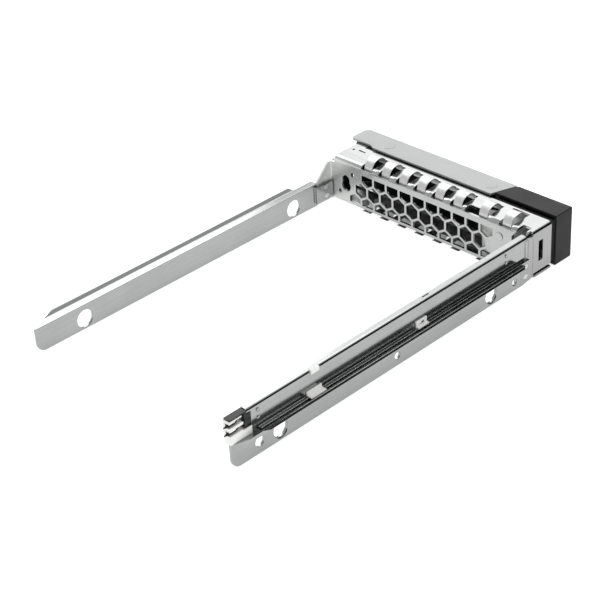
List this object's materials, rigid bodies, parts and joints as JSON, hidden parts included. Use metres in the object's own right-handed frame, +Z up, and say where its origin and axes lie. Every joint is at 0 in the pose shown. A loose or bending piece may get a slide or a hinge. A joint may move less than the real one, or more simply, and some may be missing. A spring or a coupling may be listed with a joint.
{
  "type": "hot-swap drive carrier",
  "caption": "Empty sheet-metal hot-swap carrier for a small-form-factor drive: vented front box, two side rails, light pipes, swing handle and sprung release button.",
  "frame": {"origin": "middle of the outline in plan, on the plane the carrier rests on", "axes": "+Z up, handle and release button face -Y, free ends of the rails point to +Y, light pipes on the -X side"},
  "size_m": [0.0802, 0.1272, 0.0163],
  "materials": {
    "zinc_sheet": "satin electro-plated",
    "rail_sheet": "satin electro-plated with fine rolling lines",
    "cover_sheet": "satin electro-plated",
    "rivet_steel": "satin",
    "spring_steel": "bright rolled",
    "light_pipe": "clear smoky gloss",
    "holder_plastic": "satin",
    "housing_plastic": "fine spark texture",
    "carrier_plastic": "satin",
    "button_plastic": "satin",
    "slide_plastic": "satin",
    "handle_sheet": "fine metallic paint",
    "core_plastic": "satin",
    "pin_steel": "turned"
  },
  "bodies": {
    "carrier": {"frame": "zinc_sheet", "bottom_cover": "zinc_sheet", "plain_rail": "rail_sheet", "light_pipe_rail": "rail_sheet", "light_pipe_cover": "cover_sheet", "rail_rivets": "rivet_steel", "emi_spring_top": "spring_steel", "emi_spring_bottom": "spring_steel", "light_pipe_upper": "light_pipe", "light_pipe_lower": "light_pipe", "light_pipe_holder": "holder_plastic", "light_pipe_clips": "holder_plastic", "latch_housing": "housing_plastic", "latch_carrier": "carrier_plastic", "latch_spring": "spring_steel", "pivot_pin": "pin_steel", "pivot_washers": "pin_steel", "handle_spring": "spring_steel"},
    "handle": {"handle_skin": "handle_sheet", "handle_core": "core_plastic", "handle_rivets": "rivet_steel"},
    "button": {"release_button": "button_plastic"},
    "latch": {"latch_slide": "slide_plastic"}
  },
  "joints": [
    {"name": "handle_hinge", "type": "hinge", "parent": "carrier", "child": "handle", "pos_m": [0.034, -0.0594, 0.0076], "axis": [0, 0, 1], "range_deg": [0, 45]},
    {"name": "button_press", "type": "slide", "parent": "carrier", "child": "button", "axis": [0, 1, 0], "range_m": [0, 0.0016], "stiffness_N_per_m": 400, "springref_m": -0.0004},
    {"name": "latch_retract", "type": "slide", "parent": "carrier", "child": "latch", "axis": [-1, 0, 0], "range_m": [0, 0.0016], "deforming": ["latch_spring"]}
  ],
  "couplings": [
    {"joint": "latch_retract", "follows": "button_press", "ratio": 1}
  ]
}
